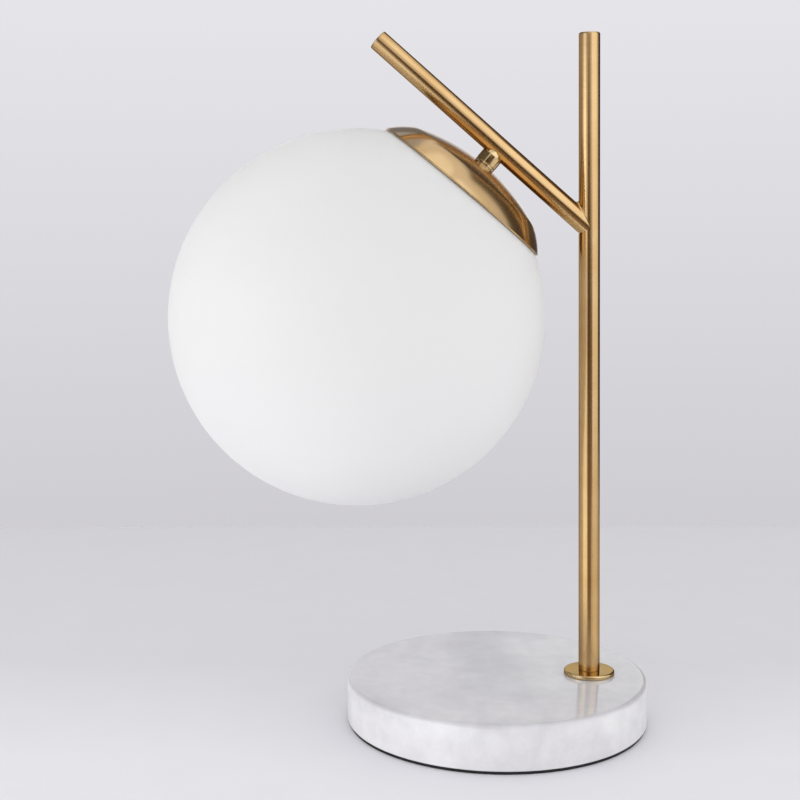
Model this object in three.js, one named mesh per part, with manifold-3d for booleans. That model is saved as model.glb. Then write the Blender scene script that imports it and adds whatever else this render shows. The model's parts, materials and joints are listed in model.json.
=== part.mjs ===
// A table lamp: an opal glass globe hangs from the slanted arm of a brass stand on a round marble
// base. Millimetres, +Z up. The origin is the middle of the base's underside. The upright stands
// towards +X, and the arm and the globe reach towards -X in the plane y = 0, which mirrors the lamp.
// The globe pulls off along the head's axis, and then the bulb can be unscrewed along the same axis.

import * as THREE from 'three';
import { mergeVertices } from 'three/addons/utils/BufferGeometryUtils.js';
import Module from 'manifold-3d';

const wasm = await Module();
wasm.setup();

const degrees = Math.PI / 180;
const fullTurn = 2 * Math.PI;
const quarterTurn = Math.PI / 2;

// Fits
const clearance = 0.3; // between a piece and the one that carries it, and round every thread
const overrun = 4; // how far a cutting tool passes its piece

// Base
const baseRadius = 80;
const marbleHeight = 23;
const marbleTopRound = 2;
const marbleFootRound = 1.2;
const padThickness = 1.5;
const padInset = 1;
const pocketRadius = 20; // half the width of the pocket under the marble
const pocketDepth = 15;
const inletWidth = 9; // the cable groove from the pocket to the rear edge
const inletHeight = 9;
const glandLength = 11;
const glandBoreRadius = 3.1;

// Brass frame
const tubeRadius = 5.6;
const tubeWall = 1.3;
const uprightInset = 30; // from the base's edge to the upright's axis
const lampHeight = 366.5; // from the table to the top of the upright
const junctionHeight = 263.5; // where the axes of the upright and the arm meet
const armTilt = 42 * degrees; // above the horizontal
const armLength = 150.1; // from the junction to the arm's upper end
const brazeRadius = 1.1; // of the hollow that the braze leaves round the arm's joint
const capThickness = 1.2;
const capRound = 0.7;
const capCrown = 0.4; // how far a cap's middle stands above its edge
const capSpigot = 4;
const flangeRadius = 13.4;
const flangeThickness = 2.3;
const flangeRound = 0.8;
const wiringHoleRadius = 3.2;

// Screwed fastenings
const threadRadius = 4;
const threadBoreRadius = 2.7;
const stemThreadReach = 18; // how far the base's threaded tube goes up the upright
const nutAcrossFlats = 12;
const baseNutHeight = 4;
const threadStandOut = 1.2; // how far a threaded tube stands out of its last nut
const clampWasherRadius = 15;
const clampWasherThickness = 1.5;
const lockWasherRadius = 7;
const lockWasherThickness = 0.9;

// Head, with lengths along the head's axis from the arm's axis down to the globe
const headOffset = 64; // from the junction along the arm to the head's axis
const headTilt = 40.4 * degrees; // from the vertical
const bossRadius = 5.95;
const bossLength = 5; // below the arm
const bossChamferDepth = 1.1; // of the bevel at the boss's upper edge, where the braze runs
const bossChamferHeight = 2;
const bossBrazeRadius = 0.8;
const spacerRadius = 5.9;
const spacerLength = 0.6;
const canopyWall = 0.9;
const canopyShoulderRadius = 41;
const canopyDomeGap = 5.2; // the dome runs round the globe at this distance
const canopySkirtHeight = 10.4; // from the shoulder down to the rim
const canopySkirtBow = 0.6; // how far the skirt bulges between shoulder and rim
const canopyRimGap = 1.3; // between the rim and the globe
const canopyLipRadius = 0.75;
const canopyNutHeight = 3;
const plateNutHeight = 2.4;
const plateRadius = 41.2;
const plateThickness = 1;
const plateVentRadius = 7;
const gasketWidth = 2.6;
const gasketThickness = 0.9;

// Globe
const globeRadius = 100;
const globeWall = 2.5;
const neckRadius = 38;
const neckFaceRadius = 41.5; // of the ground edge, at its outside

// Spring clips that hold the globe
const clipCount = 3;
const clipWidth = 10;
const clipThickness = 0.6;
const clipFootLength = 13;
const clipGripLength = 4.5;
const clipTailLength = 12;
const clipTailInset = 5;

// Lampholder
const holderRadius = 19.5;
const holderWall = 1.9;
const holderCapHeight = 15;
const holderCapTopRadius = 9;
const holderCapSkirt = 5;
const holderSkirtLength = 25;
const holderInsertHeight = 5.5;
const holderSleeveRadius = 14.6;
const holderSleeveWall = 0.5;
const holderSleeveLength = 17;
const contactWidth = 4.5;
const contactThickness = 0.5;
const contactSpan = 18;
const contactRise = 0.9;

// Bulb
const bulbRadius = 30;
const bulbContactRadius = 4.7;
const bulbContactHeight = 1.6;
const bulbInsulatorHeight = 3.6;
const bulbCapRadius = 13.2;
const bulbCapHeight = 20;
const bulbHousingHeight = 31;
const bulbNeckRadius = 14.2;
const bulbSeamRadius = 29;
const bulbSeamLip = 1.4;

// Terminal block and leads
const terminalLength = 16;
const terminalWidth = 19;
const terminalHeight = 10;
const terminalPitch = 8;
const terminalBoreRadius = 1.6;
const terminalBoreRise = 3.2;
const terminalGap = 12; // from the base nut to the block
const leadRadius = 0.9;
const leadSpread = 1.25; // half the distance between the two leads in the tubes
const leadTuck = 3; // how far a lead goes into the terminal block
const leadBend = 3.4;
const leadSag = 3.2;

// Facets
const baseFacets = 72;
const tubeFacets = 32;
const smallFacets = 20;
const flangeFacets = 40;
const canopyFacets = 48;
const globeFacets = 48;
const globeRings = 18;
const bulbFacets = 24;
const roundSteps = 3;
const domeSteps = 6;
const skirtSteps = 4;
const brazeFacets = 32;
const brazeSteps = 3;
const leadFacets = 8;

// Places that follow from the sizes
const uprightOffset = baseRadius - uprightInset;
const marbleTop = padThickness + marbleHeight;
const pocketCeiling = padThickness + pocketDepth;
const flangeTop = marbleTop + flangeThickness;
const tubeBore = tubeRadius - tubeWall;
const threadHole = threadRadius + clearance;
const armAxisPitch = armTilt - quarterTurn; // turns +Z onto the arm's direction
const headAxisPitch = headTilt + fullTurn / 2; // turns +Z onto the head's hanging direction
const bossEnd = tubeRadius + bossLength;
const spacerStart = bossEnd + clearance;
const spacerEnd = spacerStart + spacerLength;
const canopyStart = spacerEnd + clearance;
const canopyDomeRadius = globeRadius + canopyDomeGap;
const globeDrop = canopyStart + canopyDomeRadius;
const shoulderLevel = Math.sqrt(canopyDomeRadius ** 2 - canopyShoulderRadius ** 2);
const canopyRimLevel = shoulderLevel - canopySkirtHeight;
const globeAtRim = Math.sqrt(globeRadius ** 2 - canopyRimLevel ** 2);
const canopyRimRadius = globeAtRim + canopyRimGap + canopyWall;
const neckLevel = Math.sqrt(globeRadius ** 2 - neckFaceRadius ** 2);
const neckEdge = globeDrop - neckLevel;
const gasketStart = neckEdge - clearance - gasketThickness;
const plateStart = gasketStart - clearance - plateThickness;
const plateEnd = plateStart + plateThickness;
const plateNutStart = plateStart - clearance - plateNutHeight;
const canopyInside = canopyStart + canopyWall;
const canopyWasherStart = canopyInside + clearance;
const canopyNutStart = canopyWasherStart + lockWasherThickness + clearance;
const holderCapStart = plateEnd + clearance;
const holderCapEnd = holderCapStart + holderCapHeight;
const holderSkirtStart = holderCapEnd + clearance;
const holderInsertEnd = holderSkirtStart + holderInsertHeight / 2;
const holderInsertStart = holderInsertEnd - holderInsertHeight;
const holderInner = holderRadius - holderWall;
const bulbContactStart = holderInsertEnd + clearance + contactThickness + contactRise + clearance;
const bulbInsulatorStart = bulbContactStart + bulbContactHeight + clearance;
const bulbCapStart = bulbInsulatorStart + bulbInsulatorHeight + clearance;
const bulbHousingStart = bulbCapStart + bulbCapHeight + clearance;
const bulbSeam = bulbHousingStart + bulbHousingHeight;
const headThreadStart = tubeRadius + clearance;
const headThreadEnd = holderCapStart + holderWall + threadStandOut;

// Materials
const material = (color, roughness, metalness) =>
  new THREE.MeshStandardMaterial({ color, roughness, metalness });
const brass = material(0xb89b68, 0.32, 1);
const marble = material(0xe4e3e0, 0.2, 0);
const rubber = material(0x1c1c1d, 0.9, 0);
const steel = material(0xb4b6b8, 0.4, 1);
const glass = material(0xf4f3ef, 0.18, 0);
const silicone = material(0xdadad6, 0.7, 0);
const holderPlastic = material(0x202022, 0.5, 0);
const terminalPlastic = material(0xe8e6df, 0.5, 0);
const bulbPlastic = material(0xf1f0ec, 0.45, 0);
const liveLead = material(0x6d3f23, 0.55, 0);
const neutralLead = material(0x2b5ea8, 0.55, 0);

// A closed geometry becomes a solid that can be joined and cut
function toSolid(geometry) {
  const bare = geometry.clone();
  bare.deleteAttribute('normal');
  bare.deleteAttribute('uv');
  const merged = mergeVertices(bare);
  const mesh = new wasm.Mesh({
    numProp: 3,
    vertProperties: Float32Array.from(merged.attributes.position.array),
    triVerts: Uint32Array.from(merged.index.array),
  });
  return new wasm.Manifold(mesh);
}

function fromSolid(solid) {
  const mesh = solid.getMesh();
  const geometry = new THREE.BufferGeometry();
  geometry.setAttribute('position', new THREE.BufferAttribute(mesh.vertProperties, mesh.numProp));
  geometry.setIndex(new THREE.BufferAttribute(mesh.triVerts, 1));
  geometry.computeVertexNormals();
  return geometry;
}

function piece(name, solid, look) {
  const mesh = new THREE.Mesh(fromSolid(solid), look);
  mesh.name = name;
  return mesh;
}

const point = (x, y) => new THREE.Vector2(x, y);

// A profile of radius and height, turned round +Z. It closes on itself or runs from axis to axis.
function turned(profile, facets) {
  const onAxis = profile[0].x === 0 && profile[profile.length - 1].x === 0;
  const outline = onAxis ? profile : [...profile, profile[0].clone()];
  const rising = THREE.ShapeUtils.area(profile) > 0;
  const ordered = rising ? outline : [...outline].reverse();
  const geometry = new THREE.LatheGeometry(ordered, facets);
  geometry.rotateX(quarterTurn);
  return toSolid(geometry);
}

function ring(outer, inner, start, end, facets) {
  const profile = [point(inner, start), point(outer, start), point(outer, end), point(inner, end)];
  return turned(profile, facets);
}

function disc(radius, start, end, facets) {
  const profile = [point(0, start), point(radius, start), point(radius, end), point(0, end)];
  return turned(profile, facets);
}

// Points of a round between two angles, the first and the last included
function arc(centre, radius, from, to, steps) {
  const points = [];
  for (let step = 0; step <= steps; step += 1) {
    const angle = from + ((to - from) * step) / steps;
    points.push(point(centre.x + radius * Math.cos(angle), centre.y + radius * Math.sin(angle)));
  }
  return points;
}

// A line of points gets a second side at the wall's distance to its left, and becomes an outline
function thickened(line, wall) {
  const offset = line.map((here, index) => {
    const before = line[Math.max(index - 1, 0)];
    const after = line[Math.min(index + 1, line.length - 1)];
    const first = index > 0 ? here.clone().sub(before) : after.clone().sub(here);
    const last = index < line.length - 1 ? after.clone().sub(here) : first.clone();
    const firstLeft = point(-first.y, first.x).normalize();
    const lastLeft = point(-last.y, last.x).normalize();
    const mitre = firstLeft.clone().add(lastLeft).normalize();
    const reach = wall / mitre.dot(firstLeft);
    return here.clone().addScaledVector(mitre, reach);
  });
  return [...line, ...offset.reverse()];
}

// An outline in X and Z becomes a slab that runs across Y, centred on y = 0
function slab(outline, width) {
  const geometry = new THREE.ExtrudeGeometry(new THREE.Shape(outline), {
    depth: width,
    bevelEnabled: false,
    curveSegments: smallFacets,
  });
  geometry.rotateX(quarterTurn);
  geometry.translate(0, width / 2, 0);
  return toSolid(geometry);
}

// The sides between sections of as many points each, one after the other. Closed sides also join
// the last section to the first.
function loftSides(sections, closed) {
  const count = sections[0].length;
  const rows = closed ? sections.length : sections.length - 1;
  const triangles = [];
  for (let row = 0; row < rows; row += 1) {
    const here = row * count;
    const beyond = ((row + 1) % sections.length) * count;
    for (let column = 0; column < count; column += 1) {
      const next = (column + 1) % count;
      triangles.push(here + column, here + next, beyond + next);
      triangles.push(here + column, beyond + next, beyond + column);
    }
  }
  return triangles;
}

function loftSolid(sections, triangles) {
  const positions = sections.flat().flatMap((corner) => corner.toArray());
  const geometry = new THREE.BufferGeometry();
  geometry.setAttribute('position', new THREE.Float32BufferAttribute(positions, 3));
  geometry.setIndex(triangles);
  return toSolid(geometry);
}

// A solid along its sections, with flat ends
function lofted(sections) {
  const count = sections[0].length;
  const triangles = loftSides(sections, false);
  const lastRow = (sections.length - 1) * count;
  for (let column = 1; column < count - 1; column += 1) {
    triangles.push(0, column + 1, column);
    triangles.push(lastRow, lastRow + column, lastRow + column + 1);
  }
  return loftSolid(sections, triangles);
}

// A solid ring along its sections
function ringLoft(sections) {
  return loftSolid(sections, loftSides(sections, true));
}

// A tube along corner points, with its section carried along without twist
function tubeAlong(corners, radius, facets) {
  const side = new THREE.Vector3(0, 1, 0);
  const sections = corners.map((here, index) => {
    const before = corners[Math.max(index - 1, 0)];
    const after = corners[Math.min(index + 1, corners.length - 1)];
    const forward = after.clone().sub(before).normalize();
    side.addScaledVector(forward, -side.dot(forward)).normalize();
    const up = forward.clone().cross(side);
    const section = [];
    for (let facet = 0; facet < facets; facet += 1) {
      const angle = (fullTurn * facet) / facets;
      const corner = here.clone();
      corner.addScaledVector(side, radius * Math.cos(angle));
      corner.addScaledVector(up, radius * Math.sin(angle));
      section.push(corner);
    }
    return section;
  });
  return lofted(sections);
}

function hexNut(acrossFlats, height, start) {
  const cornerRadius = acrossFlats / Math.sqrt(3);
  const blank = new THREE.CylinderGeometry(cornerRadius, cornerRadius, height, 6);
  blank.rotateX(quarterTurn);
  blank.translate(0, 0, start + height / 2);
  const bore = disc(threadHole, start - overrun, start + height + overrun, smallFacets);
  return toSolid(blank).subtract(bore);
}

// A branch tube that stands along +Z from the axis of a main tube. The main tube's axis lies in
// the plane y = 0 at the given pitch above +X. How far out the branch's side meets the main tube:
function copeHeight(branchRadius, mainRadius, pitch, angle) {
  const reach = Math.sqrt(Math.max(mainRadius ** 2 - (branchRadius * Math.sin(angle)) ** 2, 0));
  return (branchRadius * Math.sin(pitch) * Math.cos(angle) + reach) / Math.cos(pitch);
}

// The braze round that joint: the hollow that a ball leaves as it rolls round in the crotch. Each
// section runs from the branch to the main tube, and closes with a point inside the metal.
function braze(branchRadius, mainRadius, pitch, ballRadius) {
  const mainAxis = new THREE.Vector3(Math.cos(pitch), 0, Math.sin(pitch));
  const sections = [];
  for (let facet = 0; facet < brazeFacets; facet += 1) {
    const angle = (fullTurn * (facet + 1 / 2)) / brazeFacets;
    const outward = new THREE.Vector3(Math.cos(angle), Math.sin(angle), 0);
    const ball = outward.clone().multiplyScalar(branchRadius + ballRadius);
    ball.z = copeHeight(branchRadius + ballRadius, mainRadius + ballRadius, pitch, angle);
    const toBranch = outward.clone().negate();
    const toMain = mainAxis.clone().multiplyScalar(ball.dot(mainAxis)).sub(ball).normalize();
    const toRoot = toBranch.clone().add(toMain).normalize();
    const rootReach = (2 * ballRadius) / toRoot.dot(toBranch);
    const section = [ball.clone().addScaledVector(toRoot, rootReach)];
    for (let step = 0; step <= brazeSteps; step += 1) {
      const towards = toBranch.clone().lerp(toMain, step / brazeSteps).normalize();
      section.push(ball.clone().addScaledVector(towards, ballRadius));
    }
    sections.push(section);
  }
  return ringLoft(sections);
}

// A bar of the main tube's size, in the branch's frame, that cuts the branch to fit over it
function mainBar(radius, pitch, length) {
  const bar = new THREE.CylinderGeometry(radius, radius, length, tubeFacets);
  bar.rotateZ(-quarterTurn);
  bar.rotateY(-pitch);
  return toSolid(bar);
}

// The shape of the cable groove, in X and Z, flat at the pad and round at the top
function archOutline(width, height, foot) {
  const half = width / 2;
  const crown = arc(point(0, foot + height - half), half, 0, Math.PI, 2 * roundSteps);
  return [point(-half, foot), point(half, foot), ...crown];
}

// Base
function marbleBase() {
  const foot = padThickness;
  const footCentre = point(baseRadius - marbleFootRound, foot + marbleFootRound);
  const topCentre = point(baseRadius - marbleTopRound, marbleTop - marbleTopRound);
  const profile = [
    point(0, foot),
    ...arc(footCentre, marbleFootRound, -quarterTurn, 0, roundSteps),
    ...arc(topCentre, marbleTopRound, 0, quarterTurn, roundSteps),
    point(0, marbleTop),
  ];
  const block = turned(profile, baseFacets);
  const stemHole = disc(threadHole, -overrun, marbleTop + overrun, smallFacets);
  const cut = block.subtract(stemHole.translate(uprightOffset, 0, 0));
  return cut.subtract(pocket()).subtract(inletGroove());
}

// The pocket is round under the stem and runs to the middle, where the cable comes in
function pocket() {
  const outline = new THREE.Shape();
  outline.absarc(uprightOffset, 0, pocketRadius, -quarterTurn, quarterTurn, false);
  outline.absarc(0, 0, pocketRadius, quarterTurn, 3 * quarterTurn, false);
  const depth = pocketDepth + overrun;
  const cutter = new THREE.ExtrudeGeometry(outline, {
    depth,
    bevelEnabled: false,
    curveSegments: smallFacets / 2,
  });
  cutter.translate(0, 0, pocketCeiling - depth);
  return toSolid(cutter);
}

function inletGroove() {
  const outline = archOutline(inletWidth, inletHeight + overrun, padThickness - overrun);
  const length = baseRadius + overrun;
  return slab(outline, length).translate(0, length / 2, 0);
}

function basePad() {
  return disc(baseRadius - padInset, 0, padThickness, baseFacets);
}

function cableGland() {
  const foot = padThickness + clearance;
  const outline = archOutline(inletWidth - 2 * clearance, inletHeight - 2 * clearance, foot);
  const edge = Math.sqrt(baseRadius ** 2 - (inletWidth / 2) ** 2);
  const body = slab(outline, glandLength).translate(0, edge - glandLength / 2, 0);
  const bore = new THREE.CylinderGeometry(
    glandBoreRadius,
    glandBoreRadius,
    glandLength + overrun,
    smallFacets,
  );
  const boreCentre = foot + (inletHeight - 2 * clearance) / 2;
  bore.translate(0, edge - glandLength / 2, boreCentre);
  return body.subtract(toSolid(bore));
}

function stemFlange() {
  const roundCentre = point(flangeRadius - flangeRound, flangeTop - flangeRound);
  const profile = [
    point(threadHole, marbleTop),
    point(flangeRadius, marbleTop),
    ...arc(roundCentre, flangeRound, 0, quarterTurn, roundSteps),
    point(threadHole, flangeTop),
  ];
  return turned(profile, flangeFacets).translate(uprightOffset, 0, 0);
}

// The threaded tube that clamps flange, marble and washers together
const clampWasherStart = pocketCeiling - clampWasherThickness;
const baseLockWasherStart = clampWasherStart - lockWasherThickness;
const baseNutStart = baseLockWasherStart - baseNutHeight;
const stemThreadStart = baseNutStart - threadStandOut;

function stemThread() {
  const end = flangeTop + stemThreadReach;
  const tube = ring(threadRadius, threadBoreRadius, stemThreadStart, end, smallFacets);
  return tube.translate(uprightOffset, 0, 0);
}

function clampWasher() {
  const washer = ring(clampWasherRadius, threadHole, clampWasherStart, pocketCeiling, tubeFacets);
  return washer.translate(uprightOffset, 0, 0);
}

function baseLockWasher() {
  const washer = ring(
    lockWasherRadius,
    threadHole,
    baseLockWasherStart,
    clampWasherStart,
    smallFacets,
  );
  return washer.translate(uprightOffset, 0, 0);
}

function baseNut() {
  return hexNut(nutAcrossFlats, baseNutHeight, baseNutStart).translate(uprightOffset, 0, 0);
}

// Terminal block, fixed to the pocket's ceiling
const terminalRight = uprightOffset - nutAcrossFlats / 2 - terminalGap;
const terminalBoreLevel = pocketCeiling - terminalHeight + terminalBoreRise;

function terminalBlock() {
  const body = new THREE.BoxGeometry(terminalLength, terminalWidth, terminalHeight);
  const middle = terminalRight - terminalLength / 2;
  body.translate(middle, 0, pocketCeiling - terminalHeight / 2);
  let block = toSolid(body);
  for (const side of [-1, 1]) {
    const bore = new THREE.CylinderGeometry(
      terminalBoreRadius,
      terminalBoreRadius,
      terminalLength + overrun,
      smallFacets,
    );
    bore.rotateZ(quarterTurn);
    bore.translate(middle, (side * terminalPitch) / 2, terminalBoreLevel);
    block = block.subtract(toSolid(bore));
  }
  return block;
}

// Brass frame
function uprightTube() {
  const top = lampHeight - capThickness;
  const tube = ring(tubeRadius, tubeBore, flangeTop, top, tubeFacets);
  const hole = new THREE.CylinderGeometry(
    wiringHoleRadius,
    wiringHoleRadius,
    2 * tubeRadius + overrun,
    smallFacets,
  );
  hole.rotateX(quarterTurn);
  hole.translate(0, 0, tubeRadius + overrun / 2);
  hole.rotateY(armAxisPitch);
  hole.translate(0, 0, junctionHeight);
  return tube.subtract(toSolid(hole)).translate(uprightOffset, 0, 0);
}

// A low crowned cap with a spigot that fits the tube's bore, its top at the given place
function tubeCap(top) {
  const seat = top - capThickness;
  const spigotRadius = tubeBore - clearance;
  const edge = point(tubeRadius - capRound, top - capCrown - capRound);
  const halfway = point(edge.x / 2, top - capCrown / 4);
  return turned(
    [
      point(0, seat - capSpigot),
      point(spigotRadius, seat - capSpigot),
      point(spigotRadius, seat),
      point(tubeRadius, seat),
      ...arc(edge, capRound, 0, quarterTurn, roundSteps),
      halfway,
      point(0, top),
    ],
    tubeFacets,
  );
}

// Coping leaves thin slivers beside the joint that hang on nothing, and these go
function withoutSlivers(solid) {
  const bodies = solid.decompose();
  bodies.sort((a, b) => b.volume() - a.volume());
  return bodies[0];
}

// The arm's own frame has +Z along the arm and starts at the junction
function armTube() {
  const end = armLength - capThickness;
  const shell = disc(tubeRadius, 0, end, tubeFacets);
  const joined = shell.add(braze(tubeRadius, tubeRadius, armTilt, brazeRadius));
  const bore = disc(tubeBore, -overrun, end + overrun, tubeFacets);
  const upright = mainBar(tubeRadius + clearance, armTilt, lampHeight);
  const wireHole = disc(wiringHoleRadius, 0, 2 * tubeRadius, smallFacets);
  const turn = headAxisPitch - armAxisPitch;
  const hole = wireHole.rotate([0, turn / degrees, 0]).translate(0, 0, headOffset);
  return withoutSlivers(joined.subtract(bore).subtract(upright).subtract(hole));
}

// The head's frame has +Z down its hanging axis and starts on the arm's axis
const headPitch = headTilt - armTilt;

// The boss narrows towards the arm, onto which it is coped
function armBoss() {
  const topRadius = bossRadius - bossChamferDepth;
  const profile = [
    point(0, 0),
    point(topRadius, 0),
    point(topRadius, tubeRadius - bossChamferHeight),
    point(bossRadius, tubeRadius),
    point(bossRadius, bossEnd),
    point(0, bossEnd),
  ];
  const body = turned(profile, tubeFacets);
  const joined = body.add(braze(topRadius, tubeRadius, headPitch, bossBrazeRadius));
  const bore = disc(threadHole, -overrun, bossEnd + overrun, smallFacets);
  const arm = mainBar(tubeRadius + clearance, headPitch, armLength);
  return joined.subtract(bore).subtract(arm);
}

function headThread() {
  return ring(threadRadius, threadBoreRadius, headThreadStart, headThreadEnd, smallFacets);
}

function neckSpacer() {
  return ring(spacerRadius, threadHole, spacerStart, spacerEnd, tubeFacets);
}

// The points after the first of a line that bulges to its right, most at its middle
function bowed(from, to, bow, steps) {
  const along = to.clone().sub(from);
  const right = point(along.y, -along.x).normalize();
  const points = [];
  for (let step = 1; step <= steps; step += 1) {
    const share = step / steps;
    const bulge = 4 * bow * share * (1 - share);
    points.push(from.clone().addScaledVector(along, share).addScaledVector(right, bulge));
  }
  return points;
}

// The spun canopy: a dome that follows the globe, a slightly bowed skirt and a rolled lip
function canopy() {
  const centre = point(0, globeDrop);
  const shoulderAngle = Math.asin(canopyShoulderRadius / canopyDomeRadius) - quarterTurn;
  const holeAngle = Math.asin(threadHole / canopyDomeRadius) - quarterTurn;
  const shoulder = point(canopyShoulderRadius, globeDrop - shoulderLevel);
  const rim = point(canopyRimRadius, globeDrop - canopyRimLevel);
  const line = [
    ...arc(centre, canopyDomeRadius, holeAngle, shoulderAngle, domeSteps),
    ...bowed(shoulder, rim, canopySkirtBow, skirtSteps),
  ];
  const shell = turned(thickened(line, canopyWall), canopyFacets);
  const lipCentre = point(canopyRimRadius - canopyWall / 2, rim.y);
  const lipOutline = arc(lipCentre, canopyLipRadius, 0, fullTurn, 2 * roundSteps).slice(1);
  const hole = disc(threadHole, canopyStart - overrun, canopyInside + overrun, smallFacets);
  return shell.add(turned(lipOutline, canopyFacets)).subtract(hole);
}

function canopyWasher() {
  const end = canopyWasherStart + lockWasherThickness;
  return ring(lockWasherRadius, threadHole, canopyWasherStart, end, smallFacets);
}

function canopyNut() {
  return hexNut(nutAcrossFlats, canopyNutHeight, canopyNutStart);
}

function plateNut() {
  return hexNut(nutAcrossFlats, plateNutHeight, plateNutStart);
}

// The plate that carries the clips, with vents between them
function fitterPlate() {
  let plate = ring(plateRadius, threadHole, plateStart, plateEnd, canopyFacets);
  const ventCircle = (plateRadius + threadHole) / 2;
  for (let index = 0; index < clipCount; index += 1) {
    const angle = (fullTurn * (index + 1 / 2)) / clipCount;
    const vent = disc(plateVentRadius, plateStart - overrun, plateEnd + overrun, smallFacets);
    plate = plate.subtract(
      vent.translate(ventCircle * Math.cos(angle), ventCircle * Math.sin(angle), 0),
    );
  }
  return plate;
}

function neckGasket() {
  const outer = plateRadius;
  return ring(outer, outer - gasketWidth, gasketStart, gasketStart + gasketThickness, canopyFacets);
}

// A leaf spring bent down from the plate through the neck, which it presses from inside
function globeClip(index) {
  const grip = Math.sqrt((neckRadius - clearance) ** 2 - (clipWidth / 2) ** 2);
  const foot = plateEnd + clearance;
  const gripStart = neckEdge;
  const gripEnd = gripStart + clipGripLength;
  const line = [
    point(grip - clipTailInset - clipFootLength, foot),
    point(grip - clipThickness, foot),
    point(grip, foot + clipThickness),
    point(grip, gripEnd),
    point(grip - clipTailInset, gripEnd + clipTailLength),
  ];
  const clip = slab(thickened(line, clipThickness), clipWidth);
  return clip.rotate([0, 0, (fullTurn * index) / clipCount / degrees]);
}

// Lampholder
function holderCap() {
  const shoulder = holderCapEnd - holderCapSkirt;
  const reach = point(holderRadius - holderCapTopRadius, shoulder - holderCapStart);
  const dome = [];
  for (let step = 0; step <= domeSteps; step += 1) {
    const angle = (quarterTurn * step) / domeSteps;
    const radius = holderCapTopRadius + reach.x * Math.sin(angle);
    dome.push(point(radius, shoulder - reach.y * Math.cos(angle)));
  }
  const line = [point(threadHole, holderCapStart), ...dome, point(holderRadius, holderCapEnd)];
  return turned(thickened(line, holderWall), tubeFacets);
}

function holderSkirt() {
  const end = holderSkirtStart + holderSkirtLength;
  return ring(holderRadius, holderInner, holderSkirtStart, end, tubeFacets);
}

function holderInsert() {
  const block = disc(holderInner - clearance, holderInsertStart, holderInsertEnd, tubeFacets);
  let drilled = block;
  for (const side of [-1, 1]) {
    const bore = disc(
      leadRadius + clearance,
      holderInsertStart - overrun,
      holderInsertStart + leadTuck + clearance,
      smallFacets,
    );
    drilled = drilled.subtract(bore.translate(0, (side * terminalPitch) / 2, 0));
  }
  return drilled;
}

function holderSleeve() {
  const start = holderInsertEnd + clearance;
  const inner = holderSleeveRadius - holderSleeveWall;
  return ring(holderSleeveRadius, inner, start, start + holderSleeveLength, tubeFacets);
}

// The centre contact is a bowed strip under the insert
function holderContact() {
  const foot = holderInsertEnd + clearance;
  const half = contactSpan / 2;
  const crownHalf = bulbContactRadius;
  const line = [
    point(half, foot + contactThickness),
    point(crownHalf, foot + contactRise + contactThickness),
    point(-crownHalf, foot + contactRise + contactThickness),
    point(-half, foot + contactThickness),
  ];
  const reversed = [...line].reverse();
  return slab(thickened(reversed, -contactThickness), contactWidth);
}

// Globe
function globeGlass() {
  const centre = point(0, globeDrop);
  const inner = globeRadius - globeWall;
  const outerStart = Math.asin(-neckLevel / globeRadius);
  const innerStart = -Math.acos(neckRadius / inner);
  const profile = [
    ...arc(centre, globeRadius, outerStart, quarterTurn, globeRings).slice(0, -1),
    point(0, globeDrop + globeRadius),
    point(0, globeDrop + inner),
    ...arc(centre, inner, quarterTurn, innerStart, globeRings).slice(1),
    point(neckRadius, neckEdge),
  ];
  return turned(profile, globeFacets);
}

// Bulb
function bulbContact() {
  return disc(bulbContactRadius, bulbContactStart, bulbContactStart + bulbContactHeight, smallFacets);
}

function bulbInsulator() {
  const end = bulbInsulatorStart + bulbInsulatorHeight;
  const profile = [
    point(0, bulbInsulatorStart),
    point(bulbContactRadius, bulbInsulatorStart),
    point((bulbContactRadius + bulbCapRadius) / 2, end),
    point(0, end),
  ];
  return turned(profile, smallFacets);
}

function bulbCap() {
  const end = bulbCapStart + bulbCapHeight;
  const shoulder = bulbCapRadius - bulbContactRadius / 2;
  const profile = [
    point(0, bulbCapStart),
    point(shoulder, bulbCapStart),
    point(bulbCapRadius, bulbCapStart + bulbCapRadius - shoulder),
    point(bulbCapRadius, end),
    point(0, end),
  ];
  return turned(profile, bulbFacets);
}

// The housing flares from the neck to the seam in a soft S
function bulbHousing() {
  const side = [];
  for (let step = 0; step <= domeSteps; step += 1) {
    const share = step / domeSteps;
    const swell = (1 - Math.cos(Math.PI * share)) / 2;
    const radius = bulbNeckRadius + (bulbSeamRadius - bulbNeckRadius) * swell;
    side.push(point(radius, bulbHousingStart + bulbHousingHeight * share));
  }
  return turned([point(0, bulbHousingStart), ...side, point(0, bulbSeam)], bulbFacets);
}

// The diffuser is a ball whose widest ring lies just past the seam
function bulbDiffuser() {
  const start = bulbSeam + clearance;
  const ballCentre = start + bulbSeamLip + Math.sqrt(bulbRadius ** 2 - bulbSeamRadius ** 2);
  const seamAngle = -Math.acos(bulbSeamRadius / bulbRadius);
  const profile = [
    point(0, start),
    point(bulbSeamRadius, start),
    ...arc(point(0, ballCentre), bulbRadius, seamAngle, quarterTurn, globeRings / 2).slice(0, -1),
    point(0, ballCentre + bulbRadius),
  ];
  return turned(profile, bulbFacets);
}

// Leads: from the terminal block up the stem, through the arm and down into the lampholder
const alongArm = new THREE.Vector3(-Math.cos(armTilt), 0, Math.sin(armTilt));
const downHead = new THREE.Vector3(-Math.sin(headTilt), 0, -Math.cos(headTilt));
const junction = new THREE.Vector3(uprightOffset, 0, junctionHeight);
const headStart = junction.clone().addScaledVector(alongArm, headOffset);

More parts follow.
